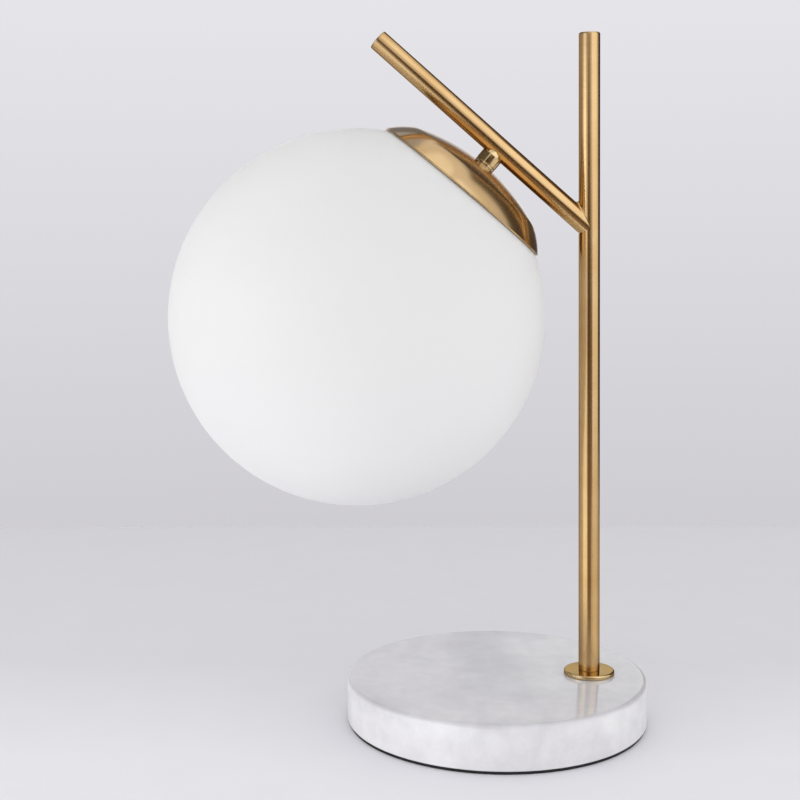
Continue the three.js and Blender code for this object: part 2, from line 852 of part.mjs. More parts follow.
// A corner rounded off by a curve that starts and ends at the bend's distance from it
function bendRound(corner, from, to, reach) {
  const start = corner.clone().lerp(from, reach / corner.distanceTo(from));
  const end = corner.clone().lerp(to, reach / corner.distanceTo(to));
  const curve = new THREE.QuadraticBezierCurve3(start, corner, end);
  return curve.getPoints(roundSteps);
}

function lead(side) {
  const inTube = side * leadSpread;
  const atTerminal = (side * terminalPitch) / 2;
  const low = stemThreadStart - leadSag;
  const endDepth = holderInsertStart + leadTuck;
  const start = new THREE.Vector3(terminalRight - leadTuck, atTerminal, terminalBoreLevel);
  const mouth = new THREE.Vector3(terminalRight + leadTuck, atTerminal, terminalBoreLevel);
  const foot = new THREE.Vector3(uprightOffset, inTube, low);
  const bend = new THREE.Vector3(uprightOffset, inTube, junctionHeight);
  const turn = headStart.clone().setY(inTube);
  const threadEnd = headStart.clone().addScaledVector(downHead, headThreadEnd).setY(inTube);
  const overPoint = headStart.clone().addScaledVector(downHead, holderInsertStart - leadBend);
  overPoint.setY(atTerminal);
  const end = headStart.clone().addScaledVector(downHead, endDepth).setY(atTerminal);
  const corners = [
    start,
    ...bendRound(mouth, start, foot, leadTuck),
    ...bendRound(foot, mouth, bend, leadBend),
    ...bendRound(bend, foot, turn, leadBend),
    ...bendRound(turn, bend, threadEnd, leadBend),
    threadEnd,
    overPoint,
    end,
  ];
  return tubeAlong(corners, leadRadius, leadFacets);
}

// Assembly
const lamp = new THREE.Group();

const stand = new THREE.Group();
stand.add(
  piece('marble_base', marbleBase(), marble),
  piece('base_pad', basePad(), rubber),
  piece('cable_gland', cableGland(), rubber),
  piece('stem_flange', stemFlange(), brass),
  piece('stem_thread', stemThread(), steel),
  piece('clamp_washer', clampWasher(), steel),
  piece('base_lock_washer', baseLockWasher(), steel),
  piece('base_nut', baseNut(), steel),
  piece('terminal_block', terminalBlock(), terminalPlastic),
  piece('upright_tube', uprightTube(), brass),
  piece('upright_cap', tubeCap(lampHeight).translate(uprightOffset, 0, 0), brass),
  piece('lead_live', lead(1), liveLead),
  piece('lead_neutral', lead(-1), neutralLead),
);

const arm = new THREE.Group();
arm.position.copy(junction);
arm.rotation.y = armAxisPitch;
arm.add(
  piece('arm_tube', armTube(), brass),
  piece('arm_cap', tubeCap(armLength).translate(0, 0, clearance), brass),
);

const head = new THREE.Group();
head.position.copy(headStart);
head.rotation.y = headAxisPitch;
head.add(
  piece('arm_boss', armBoss(), brass),
  piece('head_thread', headThread(), steel),
  piece('neck_spacer', neckSpacer(), brass),
  piece('canopy', canopy(), brass),
  piece('canopy_washer', canopyWasher(), steel),
  piece('canopy_nut', canopyNut(), steel),
  piece('plate_nut', plateNut(), steel),
  piece('fitter_plate', fitterPlate(), steel),
  piece('neck_gasket', neckGasket(), silicone),
  piece('lampholder_cap', holderCap(), holderPlastic),
  piece('lampholder_skirt', holderSkirt(), holderPlastic),
  piece('lampholder_insert', holderInsert(), holderPlastic),
  piece('lampholder_sleeve', holderSleeve(), brass),
  piece('lampholder_contact', holderContact(), brass),
  piece('globe_glass', globeGlass(), glass),
  piece('bulb_contact', bulbContact(), steel),
  piece('bulb_insulator', bulbInsulator(), holderPlastic),
  piece('bulb_cap', bulbCap(), steel),
  piece('bulb_housing', bulbHousing(), bulbPlastic),
  piece('bulb_diffuser', bulbDiffuser(), bulbPlastic),
);
for (let index = 0; index < clipCount; index += 1) {
  head.add(piece(`globe_clip_${index + 1}`, globeClip(index), steel));
}

lamp.add(stand, arm, head);
lamp.updateMatrixWorld(true);

export default lamp;
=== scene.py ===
"""The looks of the glass globe table lamp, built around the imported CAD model. Metres, +Z up."""

import json
import math

import bpy
from mathutils import Matrix, Vector


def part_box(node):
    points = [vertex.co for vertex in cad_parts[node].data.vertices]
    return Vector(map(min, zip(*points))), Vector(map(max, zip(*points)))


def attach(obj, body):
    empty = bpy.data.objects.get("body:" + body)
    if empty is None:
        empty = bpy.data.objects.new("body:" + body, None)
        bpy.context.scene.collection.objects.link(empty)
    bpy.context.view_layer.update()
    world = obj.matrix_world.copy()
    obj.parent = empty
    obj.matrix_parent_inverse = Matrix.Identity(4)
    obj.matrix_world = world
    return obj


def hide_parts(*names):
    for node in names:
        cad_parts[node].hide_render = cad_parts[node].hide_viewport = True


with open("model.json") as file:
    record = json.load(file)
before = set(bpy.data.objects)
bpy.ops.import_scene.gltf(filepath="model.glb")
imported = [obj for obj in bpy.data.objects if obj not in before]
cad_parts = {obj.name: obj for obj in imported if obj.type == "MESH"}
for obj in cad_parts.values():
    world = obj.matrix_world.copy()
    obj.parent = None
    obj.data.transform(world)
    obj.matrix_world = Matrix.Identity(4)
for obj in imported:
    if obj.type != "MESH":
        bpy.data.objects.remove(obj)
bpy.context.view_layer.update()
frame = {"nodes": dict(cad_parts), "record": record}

MM = 0.001
TURN = 2 * math.pi
X, Y, Z = range(3)

# Sizes that the frame doesn't give
ARM_TILT = math.radians(42)
TUBE_EDGE = 0.35 * MM
BRAZE_RADIUS = 1.1 * MM
BOSS_BRAZE_RADIUS = 0.8 * MM
BRAZE_SINK = 0.15 * MM
BOSS_CHAMFER_DEPTH = 1.1 * MM
BOSS_CHAMFER_HEIGHT = 2 * MM
BOSS_CHAMFER_NORMAL = -30
BOSS_EDGE = 0.25 * MM
SEAT_GAP = 0.3 * MM
FLANGE_FOOT_ROUND = 0.4 * MM
FLANGE_TOP_ROUND = 0.8 * MM
MARBLE_TOP_ROUND = 2.2 * MM
MARBLE_FOOT_ROUND = 1.2 * MM
PAD_ROUND = 0.35 * MM
CANOPY_WALL = 0.9 * MM
CANOPY_SHOULDER = 41 * MM
CANOPY_SHOULDER_ROUND = 0.5 * MM
CANOPY_SKIRT_BOW = 0.6 * MM
CANOPY_LIP = 0.5 * MM
CANOPY_DOME_GAP = 5.2 * MM
CAP_THICKNESS = 1.2 * MM
CAP_ROUND = 0.7 * MM
CAP_CROWN = 0.4 * MM
CAP_SEAM = 0.12 * MM
GLOBE_WALL = 2.5 * MM
GLOBE_EDGE_DEPTH = 0.25 * MM

# Facets
ROUND_FACETS = 160
TUBE_FACETS = 144
ARC_STEPS = 8
FILLET_STEPS = 12
SKIRT_STEPS = 12
DOME_STEPS = 24
LIP_STEPS = 12
GLOBE_STEPS = 64
GLOBE_INSIDE_STEPS = 48
SHARP_ANGLE = math.radians(32)

# What the corners of a piece remember
OWN_PLACE = "own_place"
ROUND_WAY = "round_way"
CARD_PLACE = "card_place"

# Camera, in the place that a fit to the photograph's outlines gives
CAMERA_PLACE = Vector((-40.6, -741.1, 264.8)) * MM
CAMERA_YAW = math.radians(-1.748)
CAMERA_PITCH = math.radians(2.962)
CAMERA_ROLL = math.radians(0.413)
PICTURE_SIZE = 800
FOCAL_PIXELS = 1393.1
CENTRE_PIXEL = Vector((375.96, 299.35))
SENSOR = 36
NEAREST_SEEN = 10 * MM


# What the frame gives


def vertices_of(node):
    return [v.co.copy() for v in frame["nodes"][node].data.vertices]


def middle(node):
    low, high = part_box(node)
    return (Vector(low) + Vector(high)) / 2


def half_width(node, axis):
    low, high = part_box(node)
    return (high[axis] - low[axis]) / 2


def top_of(node):
    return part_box(node)[1][Z]


# The head's axis runs down from the arm through the globe's centre
joint = frame["record"]["behaviour"]["joints"][0]
HANG = Vector(joint["axis"]).normalized()
GLOBE_CENTRE = middle("globe_glass")
GLOBE_RADIUS = min(half_width("globe_glass", axis) for axis in (X, Y, Z))
ACROSS = Vector((0, 1, 0))


def frame_along(direction, origin):
    """A local frame whose +Z is the direction and whose +Y stays level."""
    side = ACROSS.cross(direction).normalized()
    turn = Matrix((side, ACROSS, direction)).transposed()
    return Matrix.Translation(origin) @ turn.to_4x4()


HEAD = frame_along(HANG, GLOBE_CENTRE)


def span(node, place=HEAD):
    """How far a node reaches along the local +Z, and its outer and inner radius there."""
    back = place.inverted()
    local = [back @ v for v in vertices_of(node)]
    heights = [v.z for v in local]
    radii = [math.hypot(v.x, v.y) for v in local]
    return min(heights), max(heights), max(radii), min(radii)


UPRIGHT_AXIS = Vector((middle("upright_tube").x, 0, 0))
TUBE_RADIUS = half_width("upright_tube", X)
UPRIGHT_TOP = top_of("upright_cap")
ALONG_ARM = Vector((-math.cos(ARM_TILT), 0, math.sin(ARM_TILT)))


def junction_point():
    """Where the arm's axis, through the middle of its cap, meets the upright's."""
    corners = vertices_of("arm_cap")
    on_axis = sum(corners, Vector()) / len(corners)
    reach = (UPRIGHT_AXIS.x - on_axis.x) / math.cos(ARM_TILT)
    return on_axis - ALONG_ARM * reach


JUNCTION = junction_point()
UPRIGHT = Matrix.Translation(UPRIGHT_AXIS)
ARM = frame_along(ALONG_ARM, JUNCTION)
ARM_END = span("arm_cap", ARM)[1]


# Meshes


def remember(mesh, name, vectors):
    """Keeps a vector with each corner of a mesh, for its material."""
    values = mesh.attributes.new(name, "FLOAT_VECTOR", "POINT").data
    for value, vector in zip(values, vectors):
        value.vector = vector


def new_piece(name, verts, faces, place):
    """A mesh in the shared frame whose corners remember their place round the piece's axis."""
    mesh = bpy.data.meshes.new(name)
    mesh.from_pydata([place @ Vector(vert) for vert in verts], [], faces)
    turn = place.to_3x3()
    remember(mesh, OWN_PLACE, verts)
    remember(mesh, ROUND_WAY, [turn @ Vector((-vert[Y], vert[X], 0)) for vert in verts])
    mesh.validate()
    mesh.shade_smooth()
    mesh.set_sharp_from_angle(angle=SHARP_ANGLE)
    piece = bpy.data.objects.new(name, mesh)
    bpy.context.collection.objects.link(piece)
    return piece


def band(lower, upper):
    """The faces between two rings of corners, of which one may be a single corner."""
    facets = max(len(lower), len(upper))
    faces = []
    for facet in range(facets):
        after = (facet + 1) % facets
        if len(lower) == 1:
            faces.append((lower[0], upper[after], upper[facet]))
        elif len(upper) == 1:
            faces.append((lower[facet], lower[after], upper[0]))
        else:
            faces.append((lower[facet], lower[after], upper[after], upper[facet]))
    return faces


def turned(name, profile, place, facets):
    """A profile of (radius, height) turned round +Z, from axis to axis or closed on itself."""
    verts = []
    rings = []
    for radius, height in profile:
        count = facets if radius > 0 else 1
        rings.append(list(range(len(verts), len(verts) + count)))
        for facet in range(count):
            angle = TURN * facet / count
            verts.append((radius * math.cos(angle), radius * math.sin(angle), height))
    pairs = list(zip(rings, rings[1:]))
    if profile[0][0] > 0:
        pairs.append((rings[-1], rings[0]))
    faces = []
    for lower, upper in pairs:
        if len(lower) > 1 or len(upper) > 1:
            faces += band(lower, upper)
    return new_piece(name, verts, faces, place)


def arc(centre, radius, start, end, steps=ARC_STEPS):
    """Points of a round, as (radius, height), between two angles in degrees."""
    points = []
    for step in range(steps + 1):
        angle = math.radians(start + (end - start) * step / steps)
        points.append((centre[0] + radius * math.cos(angle), centre[1] + radius * math.sin(angle)))
    return points


def rounded_disc(radius, low, high, low_round, high_round):
    """The profile of a solid disc with rounded edges, from the axis below to the axis above."""
    return [
        (0, low),
        *arc((radius - low_round, low + low_round), low_round, -90, 0),
        *arc((radius - high_round, high - high_round), high_round, 0, 90),
        (0, high),
    ]


def turned_disc(name, node, place, low_round, high_round):
    """A disc with rounded edges, in the place of a node that stands upright."""
    low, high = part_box(node)
    profile = rounded_disc(half_width(node, X), low[Z], high[Z], low_round, high_round)
    return turned(name, profile, place, ROUND_FACETS)


def thickened(line, wall):
    """A line of (radius, height) gets a second side at the wall's distance to its left."""
    points = [Vector(point) for point in line]
    ways = [after - here for here, after in zip(points, points[1:])]
    lefts = [Vector((-way.y, way.x)).normalized() for way in ways]
    lefts = [lefts[0], *lefts, lefts[-1]]
    inner = []
    for point, first, last in zip(points, lefts, lefts[1:]):
        mitre = (first + last).normalized()
        inner.append(tuple(point + mitre * (wall / mitre.dot(first))))
    return line + inner[::-1]


def bowed(start, end, bow, steps):
    """The points after the first of a line that bulges to its right, most at its middle."""
    start, end = Vector(start), Vector(end)
    along = end - start
    right = Vector((along.y, -along.x)).normalized()
    points = []
    for step in range(1, steps + 1):
        share = step / steps
        points.append(tuple(start + along * share + right * (4 * bow * share * (1 - share))))
    return points


def cope_height(branch, main, pitch, angle):
    """How far out a branch's side at this angle meets a main tube that crosses its axis."""
    reach = math.sqrt(max(main**2 - (branch * math.sin(angle)) ** 2, 0))
    return (branch * math.sin(pitch) * math.cos(angle) + reach) / math.cos(pitch)


def fillet(name, branch, main, pitch, radius, place):
    """The braze that a ball of this radius leaves as it rolls round the joint of two tubes."""
    along_main = Vector((math.cos(pitch), 0, math.sin(pitch)))
    verts = []
    for facet in range(ROUND_FACETS):
        angle = TURN * (facet + 0.5) / ROUND_FACETS
        outward = Vector((math.cos(angle), math.sin(angle), 0))
        ball = outward * (branch + radius)
        ball.z = cope_height(branch + radius, main + radius, pitch, angle)
        to_branch = -outward
        to_main = (along_main * ball.dot(along_main) - ball).normalized()
        section = [to_branch * (radius + BRAZE_SINK)]
        for step in range(FILLET_STEPS + 1):
            section.append(to_branch.lerp(to_main, step / FILLET_STEPS).normalized() * radius)
        section.append(to_main * (radius + BRAZE_SINK))
        verts += [ball + reach for reach in section]
    columns = len(section)
    faces = []
    for facet in range(ROUND_FACETS):
        after = (facet + 1) % ROUND_FACETS
        for step in range(columns - 1):
            first = facet * columns + step
            second = after * columns + step
            faces.append((first, second, second + 1, first + 1))
    return new_piece(name, verts, faces, place)


def dress(piece, body, material, slot, *nodes):
    """Puts a piece on its body, in its material, in the place of the nodes that it stands for."""
    piece.data.materials.clear()
    piece.data.materials.append(material)
    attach(piece, body)
    if nodes:
        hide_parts(*nodes)


# Nodes of materials


def feed(tree, node, inputs):
    """Gives a node's inputs, by name or place, either a link from a socket or a plain value."""
    for key, value in inputs.items():
        if isinstance(value, bpy.types.NodeSocket):
            tree.links.new(value, node.inputs[key])
        else:
            node.inputs[key].default_value = value


def new_node(tree, kind, inputs, **settings):
    node = tree.nodes.new(kind)
    for setting, value in settings.items():
        setattr(node, setting, value)
    feed(tree, node, inputs)
    return node


def new_material(name):
    material = bpy.data.materials.new(name)
    material.use_nodes = True
    return material, material.node_tree, material.node_tree.nodes["Principled BSDF"]


def object_place(tree):
    return tree.nodes.new("ShaderNodeTexCoord").outputs["Object"]


def remembered(tree, name):
    """A vector that the corners of a piece remember."""
    return new_node(tree, "ShaderNodeAttribute", {}, attribute_name=name).outputs["Vector"]


def axes_of(tree, vector):
    return new_node(tree, "ShaderNodeSeparateXYZ", {"Vector": vector}).outputs


def number_math(tree, operation, *values):
    inputs = dict(enumerate(values))
    return new_node(tree, "ShaderNodeMath", inputs, operation=operation).outputs["Value"]


def vector_math(tree, operation, *values):
    node = new_node(tree, "ShaderNodeVectorMath", dict(enumerate(values)), operation=operation)
    return node.outputs["Value" if operation == "LENGTH" else "Vector"]


def noise(tree, place, scale, detail=4, distortion=0, stretch=(1, 1, 1)):
    """A noise texture, in features per metre, stretched per axis."""
    mapping = new_node(tree, "ShaderNodeMapping", {"Vector": place, "Scale": stretch})
    inputs = {
        "Vector": mapping.outputs["Vector"],
        "Scale": scale,
        "Detail": detail,
        "Distortion": distortion,
    }
    return new_node(tree, "ShaderNodeTexNoise", inputs).outputs["Fac"]


def ramp(tree, factor, stops):
    """A colour ramp of (place, colour) stops."""
    node = new_node(tree, "ShaderNodeValToRGB", {"Fac": factor})
    elements = node.color_ramp.elements
    while len(elements) < len(stops):
        elements.new(0.5)
    for element, (place, colour) in zip(elements, stops):
        element.position = place
        element.color = (*colour, 1)
    return node.outputs["Color"]


def mapped(tree, value, start, end, low=0, high=1, easing="LINEAR"):
    """Maps the values from start to end onto those from low to high."""
    inputs = {"Value": value, "From Min": start, "From Max": end, "To Min": low, "To Max": high}
    return new_node(tree, "ShaderNodeMapRange", inputs, interpolation_type=easing).outputs["Result"]


def faded(tree, value, soft):
    """1, which falls softly to 0 over the last stretch before the value reaches 1."""
    return mapped(tree, value, 1 - soft, 1, 1, 0, "SMOOTHSTEP")


def bump(tree, height, strength, distance):
    inputs = {"Height": height, "Strength": strength, "Distance": distance}
    return new_node(tree, "ShaderNodeBump", inputs).outputs["Normal"]


def layered(tree, base, layers):
    """A colour darkened by each of the layers in turn."""
    for layer in layers:
        mix = new_node(tree, "ShaderNodeMix", {}, data_type="RGBA", blend_type="MULTIPLY")
        feed(tree, mix, {"Factor": 1, "A": base, "B": layer})
        base = mix.outputs["Result"]
    return base


# Metals

LINE_STRETCH = (0.03, 0.03, 1)
QUARTER_TURN = 0.25
TARNISH_SCALE = 60
CAST_GRAIN_SCALE = 400
GRAIN_SPREAD = 0.15
PLAIN_EDGE = (1, 1, 1, 1)
LACQUER_EDGE = (0.45, 0.4, 0.34, 1)
BRASS_TINT = (0.62, 0.405, 0.19)
BRASS_DARK = (0.56, 0.35, 0.15)
SPUN_TINT = (0.61, 0.425, 0.225)
SPUN_DARK = (0.56, 0.375, 0.18)
TURNED_TINT = (0.66, 0.485, 0.255)
TURNED_DARK = (0.6, 0.425, 0.205)
STEEL_TINT = (0.62, 0.63, 0.64)
STEEL_DARK = (0.5, 0.51, 0.53)
BRIGHT_TINT = (0.78, 0.78, 0.79)
BRIGHT_DARK = (0.7, 0.7, 0.71)


def metal(
    name, tint, dark_tint, roughness, line_pitch=0, line_depth=0, anisotropy=0, edge=PLAIN_EDGE
):
    """Satin metal, slightly tarnished. With a line pitch, its grain runs round its own axis."""
    material, tree, shader = new_material(name)
    clouds = noise(tree, object_place(tree), TARNISH_SCALE, detail=3)
    if line_pitch:
        own = remembered(tree, OWN_PLACE)
        grain = noise(tree, own, 1 / line_pitch, detail=1, stretch=LINE_STRETCH)
    else:
        grain = noise(tree, object_place(tree), CAST_GRAIN_SCALE, detail=2)
    smoothest, roughest = roughness * (1 - GRAIN_SPREAD), roughness * (1 + GRAIN_SPREAD)
    inputs = {
        "Base Color": ramp(tree, clouds, [(0.3, dark_tint), (0.62, tint)]),
        "Metallic": 1,
        "Roughness": mapped(tree, grain, 0, 1, smoothest, roughest),
        "Anisotropic": anisotropy,
        "Specular Tint": edge,
    }
    if line_depth:
        inputs["Normal"] = bump(tree, grain, strength=1, distance=line_depth)
    if anisotropy:
        inputs["Tangent"] = way_round(tree)
        inputs["Anisotropic Rotation"] = QUARTER_TURN
    feed(tree, shader, inputs)
    return material


def way_round(tree):
    """The way round a turned piece's axis, as it stands in the world."""
    turn = new_node(
        tree,
        "ShaderNodeVectorTransform",
        {"Vector": remembered(tree, ROUND_WAY)},
        vector_type="VECTOR",
        convert_from="OBJECT",
        convert_to="WORLD",
    )
    return turn.outputs["Vector"]


brass = metal(
    "satin_brass", BRASS_TINT, BRASS_DARK, roughness=0.2,
    line_pitch=2 * MM, anisotropy=0.85, edge=LACQUER_EDGE,
)
spun_brass = metal(
    "spun_brass", SPUN_TINT, SPUN_DARK, roughness=0.17,
    line_pitch=1.6 * MM, anisotropy=0.6,
)
turned_brass = metal(
    "turned_brass", TURNED_TINT, TURNED_DARK, roughness=0.14,
    line_pitch=1 * MM, line_depth=0.0005 * MM, anisotropy=0.5, edge=LACQUER_EDGE,
)
plain_brass = metal("plain_brass", BRASS_TINT, BRASS_DARK, roughness=0.22)
steel = metal("zinc_steel", STEEL_TINT, STEEL_DARK, roughness=0.36)
bright_metal = metal("bulb_metal", BRIGHT_TINT, BRIGHT_DARK, roughness=0.24)


# Marble

WHITE = (1, 1, 1)
MARBLE_GREY = (0.64, 0.632, 0.648)
MARBLE_PALE = (0.76, 0.751, 0.765)
# Painted shade that darkens the slab's top against its side
TOP_PAINTED_SHADE = (0.82, 0.816, 0.83)
DRIFT_SHADE = (0.92, 0.915, 0.925)
BROAD_DRIFT_SHADE = (0.78, 0.775, 0.795)
MOTTLE_SHADE = (0.93, 0.93, 0.93)
CRYSTAL_SHADE = (0.97, 0.97, 0.97)
BROAD_DRIFT_WAVER = 34 * MM
BROAD_DRIFT_WIDTH = 30 * MM
BROAD_DRIFT_START = 20 * MM
BROAD_DRIFT_END = -60 * MM

# Where in the block the slab is cut
MARBLE_CUT = (0.37, 0.81, 0.2)


def broad_drift(tree, place):
    """0 along a wavering line across the slab and 1 away from it, and clearer at the front."""
    waver = noise(tree, place, scale=22, detail=5, distortion=0.8)
    axes = axes_of(tree, place)
    off_line = number_math(tree, "MULTIPLY_ADD", waver, BROAD_DRIFT_WAVER, axes["X"])
    centred = number_math(tree, "SUBTRACT", off_line, BROAD_DRIFT_WAVER / 2)
    width = number_math(tree, "ABSOLUTE", centred)
    sideways = mapped(tree, width, 0, BROAD_DRIFT_WIDTH, easing="SMOOTHSTEP")
    forwards = mapped(
        tree, axes["Y"], BROAD_DRIFT_END, BROAD_DRIFT_START, 1, 0, easing="SMOOTHSTEP"
    )
    return number_math(tree, "MAXIMUM", sideways, forwards)


def marble_layers(tree, place, block, crystals):
    """What darkens the marble: painted shade on its top, drifts, a mottled skin and fine crystals.
    """
    top = top_of("marble_base")
    level = axes_of(tree, place)["Z"]
    # Painted shade: the slab's top is darker than its side, from the rounded edge inwards
    rise = mapped(tree, level, top - MARBLE_TOP_ROUND, top - MARBLE_TOP_ROUND / 4)
    drifts = noise(tree, block, scale=17, detail=6, distortion=1.4, stretch=(1.6, 0.55, 1))
    mottle = noise(tree, place, scale=120, distortion=0.4)
    return [
        ramp(tree, rise, [(0, WHITE), (1, TOP_PAINTED_SHADE)]),
        ramp(tree, drifts, [(0.33, DRIFT_SHADE), (0.52, WHITE)]),
        ramp(tree, broad_drift(tree, place), [(0, BROAD_DRIFT_SHADE), (1, WHITE)]),
        ramp(tree, mottle, [(0.32, MOTTLE_SHADE), (0.65, WHITE)]),
        ramp(tree, crystals, [(0.3, CRYSTAL_SHADE), (0.7, WHITE)]),
    ]


def marble_material():
    """White marble with soft grey clouds, polished."""
    material, tree, shader = new_material("polished_marble")
    place = object_place(tree)
    block = vector_math(tree, "ADD", place, MARBLE_CUT)
    clouds = noise(tree, block, scale=9, detail=5, distortion=0.6, stretch=(1, 1.3, 1.3))
    crystals = noise(tree, place, scale=900, detail=3)
    base = ramp(tree, clouds, [(0.36, MARBLE_GREY), (0.62, MARBLE_PALE)])
    feed(tree, shader, {
        "Base Color": layered(tree, base, marble_layers(tree, place, block, crystals)),
        "Normal": bump(tree, crystals, strength=0.08, distance=0.01 * MM),
        "Roughness": 0.1,
        "IOR": 1.5,
        "Subsurface Weight": 0.15,
        "Subsurface Radius": (1, 1, 1),
        "Subsurface Scale": 2 * MM,
    })
    return material


marble = marble_material()


# Glass, rubber and plastic

OPAL_COOL = (0.92, 0.92, 0.925)
OPAL_PALE = (0.935, 0.935, 0.935)
MATTE_GRAIN = 0.6 * MM
FINE_GRAIN = 0.4 * MM
MATTE_DEPTH = 0.03 * MM


def opal_material():
    """Opal white glass with an even, soft surface."""
    material, tree, shader = new_material("opal_glass")
    place = object_place(tree)
    drift = noise(tree, place, scale=8, detail=2)
    skin = noise(tree, place, scale=260, detail=2)
    feed(tree, shader, {
        "Base Color": ramp(tree, drift, [(0.3, OPAL_COOL), (0.7, OPAL_PALE)]),
        "Normal": bump(tree, skin, strength=0.05, distance=0.05 * MM),
        "Roughness": 0.45,
        "IOR": 1.45,
        "Specular IOR Level": 0.18,
        "Subsurface Weight": 0.6,
        "Subsurface Radius": (1, 1, 1),
        "Subsurface Scale": 20 * MM,
    })
    return material


def matte(name, colour, dark_colour, roughness, grain=MATTE_GRAIN):
    """Rubber, foam or moulded plastic with a fine grain."""
    material, tree, shader = new_material(name)
    speckle = noise(tree, object_place(tree), 1 / grain)
    feed(tree, shader, {
        "Base Color": ramp(tree, speckle, [(0.3, dark_colour), (0.7, colour)]),
        "Normal": bump(tree, speckle, strength=0.3, distance=MATTE_DEPTH),
        "Roughness": roughness,
    })
    return material


opal = opal_material()
rubber = matte("black_rubber", (0.012, 0.012, 0.013), (0.006, 0.006, 0.006), roughness=0.8)
silicone = matte("white_silicone", (0.7, 0.7, 0.68), (0.6, 0.6, 0.58), roughness=0.6)
black_plastic = matte(
    "black_plastic", (0.02, 0.02, 0.022), (0.014, 0.014, 0.015), roughness=0.38, grain=FINE_GRAIN
)
ivory_plastic = matte("ivory_plastic", (0.74, 0.71, 0.63), (0.68, 0.65, 0.57), roughness=0.4)
white_plastic = matte("white_plastic", (0.84, 0.84, 0.82), (0.8, 0.8, 0.78), roughness=0.35)
brown_lead = matte("brown_lead", (0.11, 0.04, 0.015), (0.08, 0.03, 0.01), roughness=0.4)
blue_lead = matte("blue_lead", (0.02, 0.09, 0.36), (0.015, 0.07, 0.3), roughness=0.4)


# Base


def make_marble():
    rounds = MARBLE_FOOT_ROUND, MARBLE_TOP_ROUND
    slab = turned_disc("marble_slab", "marble_base", Matrix(), *rounds)
    dress(slab, "stand", marble, "marble", "marble_base")


def make_pad():
    pad = turned_disc("foam_pad", "base_pad", Matrix(), PAD_ROUND, PAD_ROUND)
    dress(pad, "stand", rubber, "black_rubber", "base_pad")


def make_flange():
    rounds = FLANGE_FOOT_ROUND, FLANGE_TOP_ROUND
    flange = turned_disc("foot_flange", "stem_flange", UPRIGHT, *rounds)
    dress(flange, "stand", turned_brass, "brass", "stem_flange")


# Brass frame


def crowned_cap(top):
    """The profile of a tube's end cap, rounded at its edge and a little crowned."""
    seat = top - CAP_THICKNESS
    edge = (TUBE_RADIUS - CAP_ROUND, top - CAP_CROWN - CAP_ROUND)
    crown = []
    for step in range(1, ARC_STEPS):
        share = 1 - step / ARC_STEPS
        crown.append((edge[0] * share, top - CAP_CROWN * share**2))
    return [
        (0, seat),
        (TUBE_RADIUS - CAP_SEAM, seat),
        (TUBE_RADIUS, seat + CAP_SEAM),
        *arc(edge, CAP_ROUND, 0, 90),
        *crown,
        (0, top),
    ]


def make_rod(name, place, start, end):
    """A tube from start to end along its own axis, with its end cap."""
    profile = rounded_disc(TUBE_RADIUS, start, end - CAP_THICKNESS, TUBE_EDGE, CAP_SEAM)
    rod = turned(f"{name}_rod", profile, place, TUBE_FACETS)
    dress(rod, "stand", brass, "brass", f"{name}_tube")
    cap = turned(f"{name}_end", crowned_cap(end), place, TUBE_FACETS)
    dress(cap, "stand", turned_brass, "brass", f"{name}_cap")


def make_tubes():
    make_rod("upright", UPRIGHT, top_of("stem_flange"), UPRIGHT_TOP)
    make_rod("arm", ARM, 0, ARM_END)
    braze = fillet("arm_braze", TUBE_RADIUS, TUBE_RADIUS, ARM_TILT, BRAZE_RADIUS, ARM)
    dress(braze, "stand", plain_brass, "brass")


def arm_to_globe():
    """How far the globe's centre lies below the arm's axis, along the head's axis."""
    to_globe = GLOBE_CENTRE - JUNCTION
    across = ALONG_ARM.dot(HANG)
    return (to_globe.dot(HANG) - to_globe.dot(ALONG_ARM) * across) / (1 - across**2)


def stub_profile(place, radius, top_radius):
    """The stub with its chamfered upper end, and the ring below it, in one profile."""
    boss_end = span("arm_boss", place)[1]
    ring_start, ring_end, ring_radius, _ = span("neck_spacer", place)
    inner, ring_inner = radius - BOSS_EDGE, ring_radius - BOSS_EDGE
    return [
        (0, 0),
        (top_radius, 0),
        (top_radius, TUBE_RADIUS - BOSS_CHAMFER_HEIGHT),
        (inner, TUBE_RADIUS - BOSS_EDGE),
        *arc((inner, TUBE_RADIUS), BOSS_EDGE, BOSS_CHAMFER_NORMAL, 0)[1:],
        *arc((inner, boss_end - BOSS_EDGE), BOSS_EDGE, 0, 90),
        (ring_inner, boss_end),
        (ring_inner, ring_start),
        *arc((ring_inner, ring_start + BOSS_EDGE), BOSS_EDGE, -90, 0),
        (ring_radius, ring_end + SEAT_GAP),
        (0, ring_end + SEAT_GAP),
    ]


def make_boss():
    place = frame_along(HANG, GLOBE_CENTRE - HANG * arm_to_globe())
    radius = half_width("arm_boss", Y)
    top_radius = radius - BOSS_CHAMFER_DEPTH
    boss = turned("arm_stub", stub_profile(place, radius, top_radius), place, TUBE_FACETS)
    dress(boss, "stand", turned_brass, "brass", "arm_boss", "neck_spacer")
    local_arm = place.to_3x3().inverted() @ ALONG_ARM
    pitch = math.atan2(local_arm.z, local_arm.x)
    braze = fillet("stub_braze", top_radius, TUBE_RADIUS, pitch, BOSS_BRAZE_RADIUS, place)
    dress(braze, "stand", plain_brass, "brass")


# Canopy


